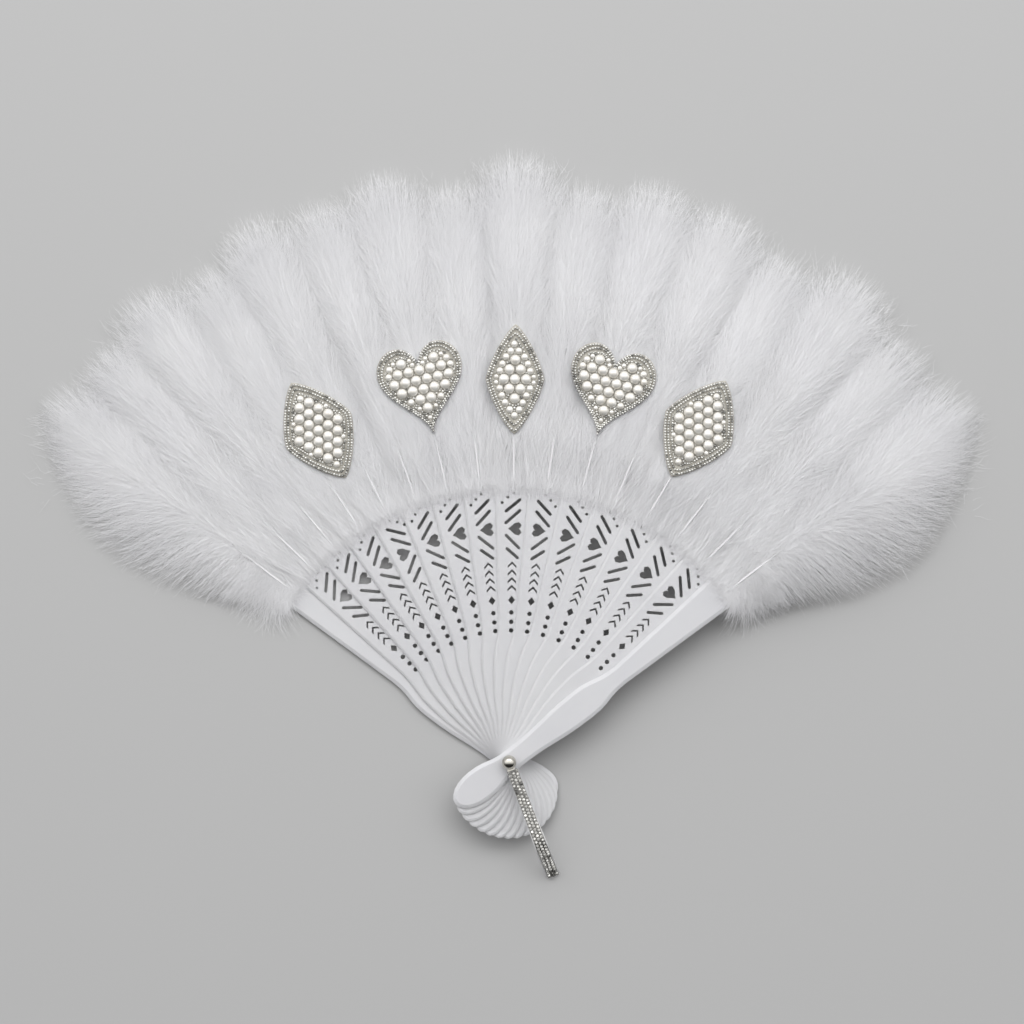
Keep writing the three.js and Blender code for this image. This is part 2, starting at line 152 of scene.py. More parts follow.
# slow drift between two tones over a piece
def makeToneDrift(detail=3.0, low=0.3, high=0.7):
    group, into, out = newGroup(
        "toneDrift",
        [("Light", "NodeSocketColor", (1, 1, 1, 1)), ("Shade", "NodeSocketColor", (0.8, 0.8, 0.8, 1)),
         ("Scale", "NodeSocketFloat", 40.0)],
        [("Color", "NodeSocketColor")])
    ramp = addNode(group, "ShaderNodeMapRange")
    ramp.inputs["From Min"].default_value = low
    ramp.inputs["From Max"].default_value = high
    group.links.new(addNoise(group, into, detail), ramp.inputs["Value"])
    mixed = addMix(group, ramp.outputs["Result"], into.outputs["Shade"], into.outputs["Light"])
    group.links.new(mixed, out.inputs["Color"])
    return group


# fine grain: a roughness that wanders, and a height for a bump
def makeFineGrain(detail=4.0, middle=0.5):
    group, into, out = newGroup(
        "fineGrain",
        [("Scale", "NodeSocketFloat", 900.0), ("Roughness", "NodeSocketFloat", 0.4),
         ("Spread", "NodeSocketFloat", 0.1)],
        [("Roughness", "NodeSocketFloat"), ("Height", "NodeSocketFloat")])
    noise = addNoise(group, into, detail)
    centred = addNode(group, "ShaderNodeMath", operation="SUBTRACT")
    centred.inputs[1].default_value = middle
    wander = addNode(group, "ShaderNodeMath", operation="MULTIPLY_ADD")
    link = group.links.new
    link(noise, centred.inputs[0])
    link(centred.outputs[0], wander.inputs[0])
    link(into.outputs["Spread"], wander.inputs[1])
    link(into.outputs["Roughness"], wander.inputs[2])
    link(wander.outputs[0], out.inputs["Roughness"])
    link(noise, out.inputs["Height"])
    return group


# a tone that each strand or stone carries with it
def makeCarriedTone():
    group, into, out = newGroup(
        "carriedTone",
        [("Color", "NodeSocketColor", (1, 1, 1, 1)), ("Dark", "NodeSocketColor", (0.3, 0.3, 0.3, 1))],
        [("Color", "NodeSocketColor")])
    tone = addNode(group, "ShaderNodeAttribute", attribute_name="tone")
    mixed = addMix(group, tone.outputs["Fac"], into.outputs["Dark"], into.outputs["Color"])
    group.links.new(mixed, out.inputs["Color"])
    return group


toneDrift = makeToneDrift()
fineGrain = makeFineGrain()
carriedTone = makeCarriedTone()


def addGrain(tree, shader, scale, roughness, spread, bump=0.0, depth=0.1):
    grain = placeGroup(tree, fineGrain, Scale=scale, Roughness=roughness, Spread=spread)
    tree.links.new(grain.outputs["Roughness"], shader.inputs["Roughness"])
    if bump:
        relief = addNode(tree, "ShaderNodeBump")
        relief.inputs["Strength"].default_value = bump
        relief.inputs["Distance"].default_value = depth * mm
        tree.links.new(grain.outputs["Height"], relief.inputs["Height"])
        tree.links.new(relief.outputs["Normal"], shader.inputs["Normal"])


# a look: two drifting tones, perhaps a carried dark one, grain, and the shader's own values
def makeLook(name, light, shade, drift, grain, dark=None, **values):
    material, tree, shader = newMaterial(name, **values)
    tone = placeGroup(tree, toneDrift, Light=(*light, 1), Shade=(*shade, 1), Scale=drift)
    if dark:
        carried = placeGroup(tree, carriedTone, Dark=(*dark, 1))
        tree.links.new(tone.outputs["Color"], carried.inputs["Color"])
        tone = carried
    tree.links.new(tone.outputs["Color"], shader.inputs["Base Color"])
    addGrain(tree, shader, **grain)
    return material


plasticWhite = makeLook(
    "satinPlastic", light=(0.675, 0.675, 0.69), shade=(0.645, 0.645, 0.665), drift=25.0,
    grain={"scale": 1400.0, "roughness": 0.42, "spread": 0.12, "bump": 0.08},
    Specular_IOR_Level=0.45, Subsurface_Weight=0.85, Subsurface_Scale=0.002,
    Subsurface_Radius=(1.0, 1.0, 1.0))
downWhite = makeLook(
    "softDown", light=(0.91, 0.91, 0.92), shade=(0.87, 0.87, 0.885), drift=30.0, dark=(0.79, 0.78, 0.8),
    grain={"scale": 2500.0, "roughness": 0.85, "spread": 0.15},
    Sheen_Weight=0.35, Sheen_Roughness=0.5, Specular_IOR_Level=0.2)
pearlCream = makeLook(
    "pearlCoat", light=(0.91, 0.895, 0.86), shade=(0.77, 0.735, 0.67), drift=300.0,
    grain={"scale": 1800.0, "roughness": 0.16, "spread": 0.1, "bump": 0.05},
    Metallic=0.3, Specular_IOR_Level=0.8, Coat_Weight=1.0, Coat_Roughness=0.05)
# grey-brown felt: partly its own colour, partly a painted shade that darkens the gaps between the beads and
# pearls
feltAndGapShade = makeLook(
    "greyFeltGapShade", light=(0.6, 0.58, 0.53), shade=(0.4, 0.38, 0.33), drift=900.0,
    grain={"scale": 2600.0, "roughness": 0.85, "spread": 0.2, "bump": 0.5, "depth": 0.3},
    Sheen_Weight=0.3, Specular_IOR_Level=0.2)
# the carried dark tone is painted shade and painted dark reflection: it darkens the strap's bed strip and a
# share of the beads and stones
stoneSilver = makeLook(
    "cutStone", light=(0.95, 0.945, 0.92), shade=(0.8, 0.785, 0.74), drift=500.0, dark=(0.1, 0.098, 0.092),
    grain={"scale": 900.0, "roughness": 0.12, "spread": 0.08},
    Metallic=0.6, Specular_IOR_Level=0.8)
steelBright = makeLook(
    "polishedSteel", light=(0.66, 0.64, 0.59), shade=(0.55, 0.53, 0.48), drift=300.0,
    grain={"scale": 4000.0, "roughness": 0.1, "spread": 0.08, "bump": 0.02},
    Metallic=1.0)
vinylPale = makeLook(
    "clearVinyl", light=(0.8, 0.8, 0.8), shade=(0.7, 0.7, 0.7), drift=120.0,
    grain={"scale": 700.0, "roughness": 0.22, "spread": 0.1, "bump": 0.05},
    Specular_IOR_Level=0.6, Coat_Weight=0.4)
print("materials made")


# mesh from arrays, in millimetres, with a flat map seen from above
def meshObject(name, points, faces, material, normals=None, tone=None, smooth=True):
    mesh = bpy.data.meshes.new(name)
    points = np.asarray(points, np.float32) * mm
    if isinstance(faces, np.ndarray):
        sizes = np.full(len(faces), faces.shape[1], np.int32)
        corners = faces.astype(np.int32).ravel()
    else:
        sizes = np.array([len(face) for face in faces], np.int32)
        corners = np.concatenate(faces).astype(np.int32)
    starts = np.concatenate([[0], np.cumsum(sizes)[:-1]]).astype(np.int32)
    mesh.vertices.add(len(points))
    mesh.vertices.foreach_set("co", points.ravel())
    mesh.loops.add(len(corners))
    mesh.loops.foreach_set("vertex_index", corners)
    mesh.polygons.add(len(sizes))
    mesh.polygons.foreach_set("loop_start", starts)
    mesh.update(calc_edges=True)
    mesh.polygons.foreach_set("use_smooth", np.full(len(sizes), smooth))
    low = points.min(0)
    size = max(float((points.max(0) - low)[:2].max()), 1e-6)
    flat = ((points[corners, :2] - low[:2]) / size).astype(np.float32)
    mesh.uv_layers.new(name="OFBake").data.foreach_set("uv", flat.ravel())
    if tone is not None:
        carried = mesh.attributes.new("tone", "FLOAT", "POINT")
        carried.data.foreach_set("value", np.asarray(tone, np.float32))
    mesh.materials.append(material)
    if normals is not None:
        mesh.normals_split_custom_set_from_vertices(np.asarray(normals, np.float32))
    mesh.validate()
    obj = bpy.data.objects.new(name, mesh)
    scene.collection.objects.link(obj)
    return obj


# quads between closed rings of points
def ringFaces(rings, sides):
    faces = []
    for low in range(0, (rings - 1) * sides, sides):
        high = low + sides
        for j in range(sides):
            after = (j + 1) % sides
            faces.append([low + j, low + after, high + after, high + j])
    return faces


# the same, with one more point as the top of a dome
def domeFaces(rings, sides):
    last = (rings - 1) * sides
    cap = [[last + j, last + (j + 1) % sides, last + sides] for j in range(sides)]
    return ringFaces(rings, sides) + cap


# the same quads seen from the other side, with both ends closed
def bandFaces(rings, sides):
    last = (rings - 1) * sides
    ends = [list(range(sides)), list(range(last, last + sides))[::-1]]
    return [[a, d, c, b] for a, b, c, d in ringFaces(rings, sides)] + ends


# ornaments: forms as in the solids
heart = {"waves": (13, -5, -2, -1), "middle": 2.55, "height": 29, "inset": (2.2, 2.4)}
lozengeBend = 1.55


def heartPoints(width, height, count):
    t = fullTurn(count)
    rise = sum(wave * np.cos((k + 1) * t) for k, wave in enumerate(heart["waves"]))
    return np.stack([-0.5 * width * np.sin(t) ** 3, height * (rise + heart["middle"]) / heart["height"]], 1)


def lozengePoints(width, height, count):
    t = fullTurn(count)
    bent = lambda v: np.sign(v) * np.abs(v) ** lozengeBend
    return np.stack([0.5 * width * bent(np.cos(t)), 0.5 * height * bent(np.sin(t))], 1)


def lozengeForm(width, height):
    side = math.hypot(width, height)
    return lambda margin, count: lozengePoints(
        width - 2 * margin * side / height, height - 2 * margin * side / width, count)


def heartForm(width, height):
    across, along = heart["inset"]
    return lambda margin, count: heartPoints(width - across * margin, height - along * margin, count)


ornamentRow = {
    "middle": 196.0,  # how far from the rivet
    "places": [3.45, 6, 8, 10, 12], "carriers": [3, 6, 8, 10, 12],  # by stick
    "forms": [lozengeForm(38, 56), heartForm(44, 46), lozengeForm(30, 56), heartForm(44, 46),
              lozengeForm(38, 56)],
    "half": (26, 32), "pressMargin": -1.0, "pressPoints": 40, "pressGap": 0.15,  # for the down below
}


def inOrnamentFrame(number, x, y):
    turn = math.radians(stickAngle(ornamentRow["places"][number]))
    across = x * math.cos(turn) - y * math.sin(turn)
    along = x * math.sin(turn) + y * math.cos(turn) - ornamentRow["middle"]
    return across, along


def insideOutline(outline, x, y):
    crossings = np.zeros(x.shape, int)
    for a, b in zip(outline, np.roll(outline, -1, 0)):
        spans = (a[1] > y) != (b[1] > y)
        rise = b[1] - a[1] if b[1] != a[1] else 1e-9
        crossings += spans & (x < a[0] + (y - a[1]) * (b[0] - a[0]) / rise)
    return crossings % 2 == 1


# the down is pressed flat under the ornaments
def underOrnaments(x, y, z):
    halfAcross, halfAlong = ornamentRow["half"]
    for number, outline in enumerate(ornamentRow["forms"]):
        across, along = inOrnamentFrame(number, x, y)
        near = (np.abs(across) < halfAcross) & (np.abs(along) < halfAlong)
        pressed = outline(ornamentRow["pressMargin"], ornamentRow["pressPoints"])
        held = near & insideOutline(pressed, across, along)
        ceiling = floorOf(f"ornament_{number + 1}_felt") - ornamentRow["pressGap"]
        z = np.where(held, np.minimum(z, ceiling), z)
    return z


# plumes: spans are shares of a plume's length, from its foot to its tip
plumes = {
    "seed": 40, "foot": 143.0, "footCover": 2.5, "tipHeight": 6.0, "folded": 0.4,
    "reach": [300, 297, 306, 296, 307, 302, 308, 297, 311, 298, 306, 304, 296, 308, 297, 300],
    "riseSpan": (0, 0.15), "fallSpan": (0.5, 1.05), "thinnest": 1.0,
    "outerEdge": 0.25, "valley": 0.3, "valleySpan": (0.45, 1), "widest": 1.25,
}
# the down on the outer side of the two guards, in degrees
flare = {"foot": 8.0, "full": (10.8, 12.2), "span": (0, 0.4), "taper": 0.86, "taperBend": 1.6}
softShade = {"step": 0.6, "out": 0.45, "across": 0.3, "foot": 0.3, "footSpan": (0.05, 0.25)}
crests = [topOf(f"plume_{i:02d}") for i in range(fan["sticks"])]


def plumeForm(index):
    angle = stickAngle(index)
    crest = crests[index]
    border = lambda other: min(crest, crests[other]) / crest
    return {
        "angle": angle, "crest": crest, "reach": plumes["reach"][index],
        "footHeight": topOf(stickName(index)) + plumes["footCover"],
        "halves": [abs(stickAngle(index + half) - angle) for half in (-0.5, 0.5)],
        "edges": (border(index - 1) if index > 0 else plumes["outerEdge"],
                  border(index + 1) if index < lastStick else plumes["outerEdge"]),
        "outer": -1 if index == 0 else 1 if index == lastStick else 0,
    }


def bySide(side, pair):
    return np.where(side < 0, pair[0], pair[1])


def alongShare(form, radius):
    return (radius - plumes["foot"]) / (form["reach"] - plumes["foot"])


def halfAngle(form, side, radius):
    share = np.clip(alongShare(form, radius), 0, 1)
    widest = blend(flare["foot"], flare["full"][form["outer"] > 0], ease(*flare["span"], share))
    flared = widest * (1 - flare["taper"] * np.clip(2 * share - 1, 0, 1) ** flare["taperBend"])
    return np.where(side == form["outer"], flared, bySide(side, form["halves"]))


def plumeTop(form, radius, phi):
    share = np.clip(alongShare(form, radius), 0, 1)
    risen = blend(form["footHeight"], form["crest"], ease(*plumes["riseSpan"], share))
    height = blend(risen, plumes["tipHeight"], ease(*plumes["fallSpan"], share))
    side = np.where(phi < 0, -1, 1)
    across = np.clip(np.abs(phi) / halfAngle(form, side, radius), 0, plumes["widest"])
    drop = 1 - bySide(side, form["edges"])
    valley = plumes["valley"] * ease(*plumes["valleySpan"], share)
    drop = np.where(side == form["outer"], drop, drop + valley)
    return np.maximum(height * (1 - drop * across ** 2), plumes["thinnest"])


def toPlace(form, radius, phi):
    turn = np.radians(form["angle"] + phi)
    return radius * np.sin(turn), radius * np.cos(turn)


# normals that follow the plume's top softly, so that the strands shade as one body
def topNormals(form, radius, phi):
    step = softShade["step"]
    turnStep = np.degrees(step / radius)
    riseOut = plumeTop(form, radius + step, phi) - plumeTop(form, radius - step, phi)
    riseAcross = plumeTop(form, radius, phi + turnStep) - plumeTop(form, radius, phi - turnStep)
    turn = np.radians(form["angle"] + phi)
    out = np.stack([np.sin(turn), np.cos(turn)], -1)
    across = np.stack([np.cos(turn), -np.sin(turn)], -1)
    leanOut = softShade["out"] * out * (riseOut / (2 * step))[..., None]
    leanAcross = softShade["across"] * across * (riseAcross / (2 * step))[..., None]
    lean = -leanOut - leanAcross
    lean *= blend(softShade["foot"], 1.0, ease(*softShade["footSpan"], alongShare(form, radius)))[..., None]
    return unit(np.concatenate([lean, np.ones(lean.shape[:-1] + (1,))], -1))


# strands: phi is an angle from the plume's middle line, in degrees, and a strand lies depth below the top
strand = {
    "points": 4, "swerve": 1.5, "waves": (0.4, 1.3), "arch": 0.5, "lift": 0.1, "lowest": 0.4,
    "rootWidth": 0.12, "tipWidth": 0.02, "taper": 0.7, "girths": (0.5, 1.2),
    "roll": 0.5, "unrest": 0.08, "tones": (0.75, 1.0),
}
walk = np.linspace(0, 1, strand["points"])[None, :]
depths = {"onTop": 0.68, "skin": 1.4, "deepest": 0.85, "bias": 1.2}
tip = {"round": 6, "ragged": (2.2, 8.5)}  # pairs for gamma draws are shape and scale


def strandPaths(form, rng, root, end, phiRoot, phiEnd, depth, lift, curl):
    count = len(root)
    radius = blend(root[:, None], end[:, None], walk)
    phi = blend(phiRoot[:, None], phiEnd[:, None], 1 - (1 - walk) ** strand["swerve"])
    waves = rng.uniform(*strand["waves"], count)[:, None]
    wave = np.sin(2 * np.pi * (walk * waves + rng.random(count)[:, None]))
    sway = curl * rng.random(count)[:, None] * wave * walk
    phi = phi + np.degrees(sway / radius)
    top = plumeTop(form, radius, phi)
    lifted = rng.normal(strand["lift"], lift, count)[:, None]
    rise = strand["arch"] * np.sin(np.pi * walk) + walk ** 2 * lifted
    return radius, phi, np.maximum(top - depth[:, None] + rise, strand["lowest"])


def downDepth(form, rng, end, phiEnd):
    count = len(end)
    deep = rng.random(count) ** depths["bias"] * depths["deepest"] * plumeTop(form, end, phiEnd)
    return np.where(rng.random(count) < depths["onTop"], rng.random(count) * depths["skin"], deep)


# how far strands reach at a plume's end, rounded and ragged
def tipLimit(form, rng, across, over):
    return form["reach"] + over - tip["round"] * across ** 2 - rng.gamma(*tip["ragged"], len(across))


# barbs along the plume, leaning out from the quill and forward
# counts are for a stick and a guard, start and footStart for a plain side and a guard's outer side
barb = {
    "counts": (7600, 11500), "fineness": 1.0, "innerShare": 0.3,
    "back": 3, "span": 0.86, "bias": 1.15, "forward": (0.4, 1.15), "length": 43, "shortest": 16,
    "flareForward": -0.05, "flareSpan": (0.0, 0.65), "ragged": 4, "raggedSpan": (0.0, 0.2), "freeEnd": 0.6,
    "start": (0.5, 0.15), "startSpread": 0.5, "footStart": (1.2, 0.35), "footEnd": 0.2,
    "across": 1.25, "acrossBias": 0.8, "acrossMost": 1.6, "middle": 0.25, "middleSpread": 0.3,
    "flareEdge": 1.12, "flareRagged": (2, 0.08), "flareFoot": 0.6, "flareFootSpan": (0.0, 0.14),
    "over": 7, "roundMost": 1.3, "lift": 0.8, "curl": 1.2,
}


def bodyBarbs(form, rng, count):
    outer = form["outer"]
    side = np.where(rng.random(count) < 0.5, -1, 1)
    if outer:
        side = np.where(rng.random(count) < barb["innerShare"], -outer, outer)
    onFlare = side == outer
    pick = lambda pair: np.where(onFlare, pair[1], pair[0])
    length = form["reach"] - plumes["foot"]
    root = plumes["foot"] - barb["back"] + length * barb["span"] * rng.random(count) ** barb["bias"]
    share = np.clip(alongShare(form, root), 0, 1)
    forward = rng.uniform(*barb["forward"], count) * barb["length"]
    ragged = rng.normal(0, barb["ragged"], count) * (1 - ease(*barb["raggedSpan"], share))
    flared = forward * blend(barb["flareForward"], 1.0, ease(*barb["flareSpan"], share)) + ragged
    forward = np.where(onFlare, flared, forward)
    start = pick(barb["start"]) * np.abs(rng.normal(0, barb["startSpread"], count))
    start = np.where(share < barb["footEnd"], rng.random(count) * pick(barb["footStart"]), start)
    across = start + rng.random(count) ** barb["acrossBias"] * barb["across"]
    across = np.minimum(across, barb["acrossMost"])
    inMiddle = rng.random(count) < barb["middle"]
    across = np.where(inMiddle, rng.normal(0, barb["middleSpread"], count), across)
    flareEnd = barb["flareEdge"] - rng.gamma(*barb["flareRagged"], count)
    flareEnd = flareEnd * blend(barb["flareFoot"], 1.0, ease(*barb["flareFootSpan"], share))
    across = np.where(onFlare, np.minimum(across, flareEnd), across)
    limit = tipLimit(form, rng, np.clip(across, 0, barb["roundMost"]), barb["over"])
    end = np.minimum(root + forward, limit)
    free = onFlare & (share < barb["freeEnd"])
    root = np.where(free, root, np.minimum(root, end - barb["shortest"]))
    phiRoot = side * start * halfAngle(form, side, root)
    phiEnd = side * across * halfAngle(form, side, end)
    depth = downDepth(form, rng, end, phiEnd)
    return strandPaths(form, rng, root, end, phiRoot, phiEnd, depth, barb["lift"], barb["curl"])


# the soft brush at the plume's end
brush = {
    "count": 2600, "fineness": 0.9, "start": 0.42, "fanOut": 1.25, "spread": 0.28, "widest": 1.5,
    "roots": (28, 75), "lengths": (24, 52), "over": 8, "lift": 1.0, "curl": 2.2,
}


def tipBrush(form, rng, count):
    start = rng.normal(0, brush["start"], count)
    across = start * brush["fanOut"] + rng.normal(0, brush["spread"], count)
    across = np.clip(across, -brush["widest"], brush["widest"])
    root = form["reach"] - rng.uniform(*brush["roots"], count)
    limit = tipLimit(form, rng, across, brush["over"])
    end = np.minimum(root + rng.uniform(*brush["lengths"], count), limit)
    plain = bySide(across, form["halves"])
    phiEnd = across * plain
    depth = downDepth(form, rng, end, phiEnd)
    return strandPaths(form, rng, root, end, start * plain, phiEnd, depth, brush["lift"], brush["curl"])


# stray strands that stand off a guard's outer edge and off the tips, in all directions
fuzz = {
    "count": 700, "fineness": 0.7, "outward": 0.35, "edgeShare": 0.7, "bias": 0.8, "tipSpan": (0.8, 0.97),
    "edgeStart": (0.7, 0.95), "tipStart": 0.6, "lengths": (3, 2.4), "longest": 10,
    "edgeLean": (75, 25), "tipLean": (8, 24), "forward": 55, "forwardSpan": (0.2, 0.9),
    "over": 5, "depth": 2.5, "lift": 1.0, "curl": 2.5,
}


def looseFuzz(form, rng, count):
    outer = form["outer"]
    side = np.where(rng.random(count) < 0.5 + fuzz["outward"] * outer, 1, -1)
    onEdge = (side == outer) & (rng.random(count) < fuzz["edgeShare"])
    share = np.where(onEdge, rng.random(count) ** fuzz["bias"], rng.uniform(*fuzz["tipSpan"], count))
    root = blend(plumes["foot"], form["reach"], share)
    edgeStart = rng.uniform(*fuzz["edgeStart"], count)
    start = np.where(onEdge, edgeStart, np.abs(rng.normal(0, fuzz["tipStart"], count)))
    length = np.minimum(rng.gamma(*fuzz["lengths"], count), fuzz["longest"])
    edgeLean = rng.normal(*fuzz["edgeLean"], count) - fuzz["forward"] * ease(*fuzz["forwardSpan"], share)
    lean = np.radians(np.where(onEdge, edgeLean, rng.normal(*fuzz["tipLean"], count)))
    end = np.minimum(root + length * np.cos(lean), form["reach"] + fuzz["over"])
    phiRoot = side * start * halfAngle(form, side, root)
    phiEnd = phiRoot + side * np.degrees(length * np.sin(lean) / root)
    depth = rng.random(count) * fuzz["depth"]
    return strandPaths(form, rng, root, end, phiRoot, phiEnd, depth, fuzz["lift"], fuzz["curl"])


# short down over the stick's end, reaching back towards the rivet
footHair = {
    "count": 1300, "fineness": 0.6, "guardSide": 2.5, "overlap": 0.8, "roots": (143, 154), "end": 140.5,
    "ragged": 3.0, "stray": 0.8, "depth": 0.8, "lift": 0.1, "curl": 0.6,
    "bed": 0.25, "pile": 1.1, "sink": 1.3,
}


def footDown(form, rng, count):
    outer = form["outer"]
    left = -footHair["guardSide"] if outer < 0 else -form["halves"][0] - footHair["overlap"]
    right = footHair["guardSide"] if outer > 0 else form["halves"][1] + footHair["overlap"]
    phiRoot = rng.uniform(left, right, count)
    root = rng.uniform(*footHair["roots"], count)
    end = footHair["end"] - np.abs(rng.normal(0, footHair["ragged"], count))
    phiEnd = phiRoot + rng.normal(0, footHair["stray"], count)
    depth = rng.random(count) * footHair["depth"]
    radius, phi, height = strandPaths(
        form, rng, root, end, phiRoot, phiEnd, depth, footHair["lift"], footHair["curl"])
    bed = form["footHeight"] - plumes["footCover"] + footHair["bed"]
    lying = bed + rng.random(count)[:, None] * footHair["pile"]
    return radius, phi, blend(height, lying, walk ** footHair["sink"])


# the tuft at a guard's foot, fanning from sideways to back along the guard
tuft = {
    "count": 2200, "fineness": 0.8, "start": 142, "span": 24, "sides": (-1.0, 3.2),
    "lean": (70, 150), "turn": 35, "lengths": (3.0, 4.0), "longer": 4, "longest": 22,
    "lift": 0.5, "curl": 1.5,
}


def guardTuft(form, rng, count):
    share = rng.random(count)
    root = tuft["start"] + tuft["span"] * share
    phiRoot = form["outer"] * rng.uniform(*tuft["sides"], count)
    lean = np.radians(rng.uniform(*tuft["lean"], count) - tuft["turn"] * share)
    length = np.minimum(rng.gamma(*tuft["lengths"], count) + tuft["longer"] * share, tuft["longest"])
    end = root + length * np.cos(lean)
    phiEnd = phiRoot + form["outer"] * np.degrees(length * np.sin(lean) / root)
    depth = downDepth(form, rng, end, phiEnd)
    return strandPaths(form, rng, root, end, phiRoot, phiEnd, depth, tuft["lift"], tuft["curl"])


# flat ribbons along the strands' points
def ribbons(points, widths, normals, roll):
    sideways = unit(np.cross(normals, unit(np.gradient(points, axis=1))))
    tilted = sideways * np.cos(roll)[:, None, None] + normals * np.sin(roll)[:, None, None]
    half = tilted * widths[..., None] / 2
    count, steps = points.shape[:2]
    vertices = np.stack([points - half, points + half], 2).reshape(-1, 3)
    base = (np.arange(count) * steps * 2)[:, None] + np.arange(steps - 1)[None, :] * 2
    faces = np.stack([base, base + 2, base + 3, base + 1], 2).reshape(-1, 4)
    return vertices, faces, np.repeat(normals.reshape(-1, 3), 2, 0)


# the quill, a tapered stem that shows near the stick and then sinks in the down; its low tone is a painted
# shade that dims it to the brightness of the self-shadowed down
quill = {
    "span": (139.5, 215.0), "steps": 30, "sides": 6, "girth": 0.58, "taper": 0.8, "tipGirth": 0.1,
    "tone": 0.1, "sunk": 0.15, "dive": 3.5, "diveSpan": (0.25, 0.7), "bed": 0.7, "riseSpan": (0.0, 0.14),
}


def quillTube(form):
    steps, sides = quill["steps"], quill["sides"]
    radius = np.linspace(*quill["span"], steps)
    share = (radius - radius[0]) / (radius[-1] - radius[0])
    middle = np.zeros(steps)
    x, y = toPlace(form, radius, middle)
    shown = plumeTop(form, radius, middle) - quill["sunk"] - quill["dive"] * ease(*quill["diveSpan"], share)
    bed = form["footHeight"] - plumes["footCover"] + quill["bed"]
    z = underOrnaments(x, y, blend(bed, shown, ease(*quill["riseSpan"], share)))
    girth = quill["girth"] * (1 - share) ** quill["taper"] + quill["tipGirth"]
    turn, angle = fullTurn(sides), math.radians(form["angle"])
    outward = np.stack([np.cos(turn) * math.cos(angle), -np.cos(turn) * math.sin(angle), np.sin(turn)], 1)
    points = np.stack([x, y, z], 1)[:, None, :] + girth[:, None, None] * outward[None]
    faces = np.array(ringFaces(steps, sides))[:, ::-1]
    return points.reshape(-1, 3), faces, np.tile(outward, (steps, 1))


def makePlume(index):
    form = plumeForm(index)
    atGuard = form["outer"] != 0
    rng = np.random.default_rng(plumes["seed"] + index)
    bundles = [
        bodyBarbs(form, rng, barb["counts"][atGuard]),
        tipBrush(form, rng, brush["count"]),
        looseFuzz(form, rng, fuzz["count"]),
        footDown(form, rng, footHair["count"]),
        guardTuft(form, rng, tuft["count"] if atGuard else 0),
    ]
    radius, phi, height = (np.concatenate([bundle[k] for bundle in bundles]) for k in range(3))
    fineness = np.concatenate([np.full(len(bundle[0]), kind["fineness"])
                               for bundle, kind in zip(bundles, (barb, brush, fuzz, footHair, tuft))])
    count = len(radius)
    x, y = toPlace(form, radius, phi)
    points = np.stack([x, y, underOrnaments(x, y, height)], 2)
    normals = topNormals(form, radius, phi)
    girth = strand["rootWidth"] * fineness * rng.uniform(*strand["girths"], count)
    widths = girth[:, None] * (1 - walk) ** strand["taper"] + strand["tipWidth"]
    vertices, faces, shading = ribbons(points, widths, normals, rng.normal(0, strand["roll"], count))
    perStrand = strand["points"] * 2
    shading = unit(shading + np.repeat(rng.normal(0, strand["unrest"], (count, 3)), perStrand, 0))
    tone = np.repeat(rng.uniform(*strand["tones"], count), perStrand)
    stem, stemFaces, stemNormals = quillTube(form)
    piece = meshObject(
        f"plume_{index:02d}_down", np.concatenate([vertices, stem]),
        np.concatenate([faces, stemFaces + len(vertices)]), downWhite,
        normals=np.concatenate([shading, stemNormals]),
        tone=np.concatenate([tone, np.full(len(stem), quill["tone"])]))
    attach(piece, stickName(index))
    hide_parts(f"plume_{index:02d}")
    if index not in ornamentRow["carriers"]:
        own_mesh(piece)


for index in range(fan["sticks"]):
    makePlume(index)
print("plumes made")


# small cut stones, as rings of points from the girdle to the table
gemCut = {"sides": 8, "rings": [(0.92, -0.25), (1.0, 0.3), (0.58, 1.0)], "twist": 0.2}


def cutGem(radius, height):
    sides, rings = gemCut["sides"], gemCut["rings"]
    points = []
    for k, (share, up) in enumerate(rings):
        turn = fullTurn(sides) + gemCut["twist"] * k
        points += [[radius * share * math.cos(a), radius * share * math.sin(a), height * up] for a in turn]
    last = (len(rings) - 1) * sides
    faces = ringFaces(len(rings), sides) + [list(range(last, last + sides)), list(range(sides))[::-1]]
    return np.array(points), faces


# a half pearl on its flat back, drawn in a little below its widest ring
pearlShape = {"sides": 18, "steps": 6, "dip": 0.3}


def halfPearl(radius, height, sides=pearlShape["sides"], steps=pearlShape["steps"]):
    dip = pearlShape["dip"]
    points = []
    for k in range(steps):
        turn = -dip + (math.pi / 2 + dip) * k / steps
        ring = radius * math.cos(turn)
        up = height * (math.sin(turn) + dip) / (1 + dip)
        points += [[ring * math.cos(a), ring * math.sin(a), up] for a in fullTurn(sides)]
    points.append([0, 0, height])
    return np.array(points), domeFaces(steps, sides) + [list(range(sides))[::-1]]


def joined(shapes):
    points, faces, start = [], [], 0
    for shapePoints, shapeFaces in shapes:
        points.append(shapePoints)
        faces += [[start + v for v in face] for face in shapeFaces]
        start += len(shapePoints)
    return np.concatenate(points), faces


def turnedAbout(points, x, y, z):
    cx, cy, cz = math.cos(x), math.cos(y), math.cos(z)
    sx, sy, sz = math.sin(x), math.sin(y), math.sin(z)
    turnX = np.array([[1, 0, 0], [0, cx, -sx], [0, sx, cx]])
    turnY = np.array([[cy, 0, sy], [0, 1, 0], [-sy, 0, cy]])
    turnZ = np.array([[cz, -sz, 0], [sz, cz, 0], [0, 0, 1]])
    return points @ (turnX.T @ turnY.T @ turnZ.T)


def alongOutline(outline, pitch, start):
    closed = np.vstack([outline, outline[:1]])
    steps = np.linalg.norm(np.diff(closed, axis=0), axis=1)
    walked = np.concatenate([[0], np.cumsum(steps)])
    count = int(walked[-1] // pitch)
    at = (np.arange(count) + start) * walked[-1] / count % walked[-1]
    return np.stack([np.interp(at, walked, closed[:, k]) for k in range(2)], 1)


